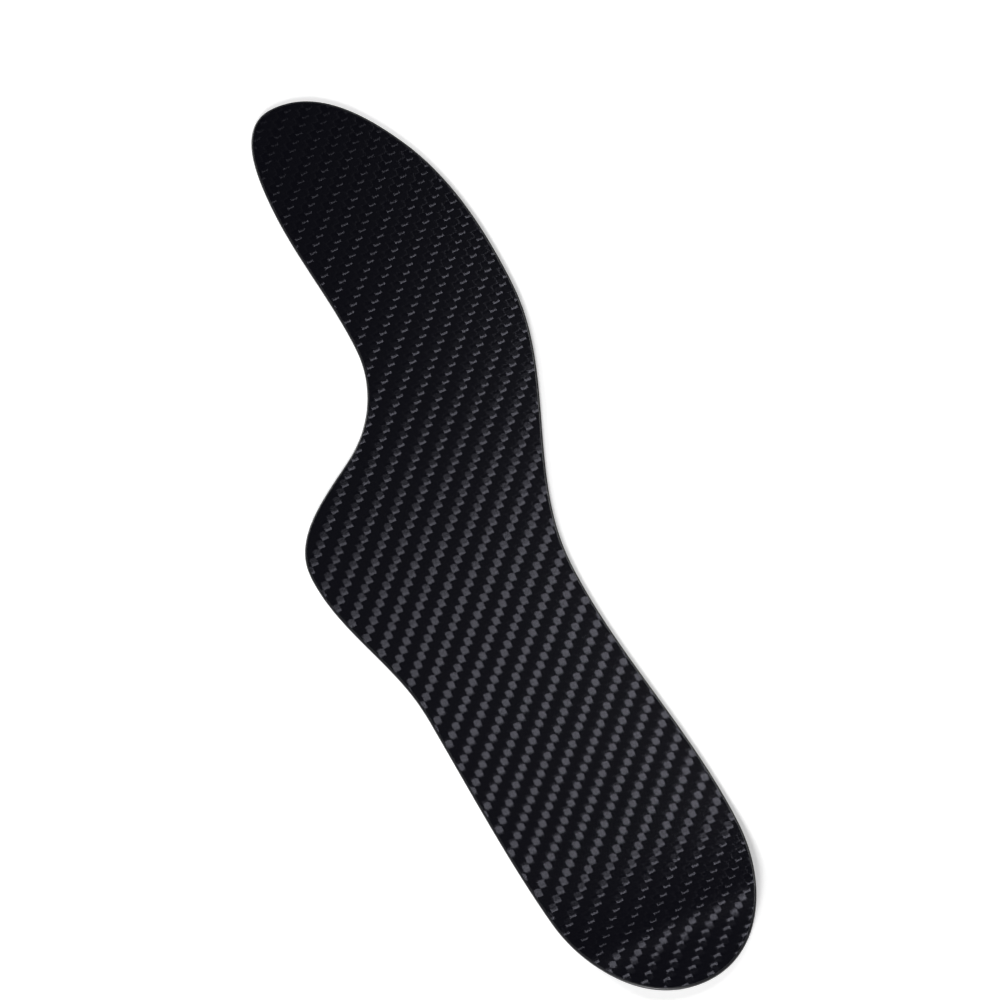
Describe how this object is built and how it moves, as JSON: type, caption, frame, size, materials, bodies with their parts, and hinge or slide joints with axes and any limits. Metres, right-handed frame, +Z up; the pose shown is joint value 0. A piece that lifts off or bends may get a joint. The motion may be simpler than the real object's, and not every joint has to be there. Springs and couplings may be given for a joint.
{
  "type": "carbon-fibre foot plate",
  "caption": "Thin stiff carbon-fibre foot plate for a left shoe, with an extension under the big toe only and a slightly raised heel.",
  "frame": {"origin": "under the middle of the plate's outline, on the flat underside that it lies on", "axes": "+X to the inner (big-toe) side, +Y from heel to toe, +Z up to the foot"},
  "size_m": [0.085, 0.28, 0.0041],
  "materials": {
    "carbon_twill": "satin woven carbon in clear resin",
    "carbon_straight_fibre": "straight-fibre carbon in resin",
    "edge_resin": "smooth resin over a trimmed carbon edge"
  },
  "bodies": {
    "root": {"top_twill_ply": "carbon_twill", "upper_lengthwise_ply": "carbon_straight_fibre", "upper_plus_45_ply": "carbon_straight_fibre", "upper_minus_45_ply": "carbon_straight_fibre", "lower_minus_45_ply": "carbon_straight_fibre", "lower_plus_45_ply": "carbon_straight_fibre", "lower_lengthwise_ply": "carbon_straight_fibre", "bottom_twill_ply": "carbon_twill", "edge_seal": "edge_resin"}
  },
  "joints": []
}
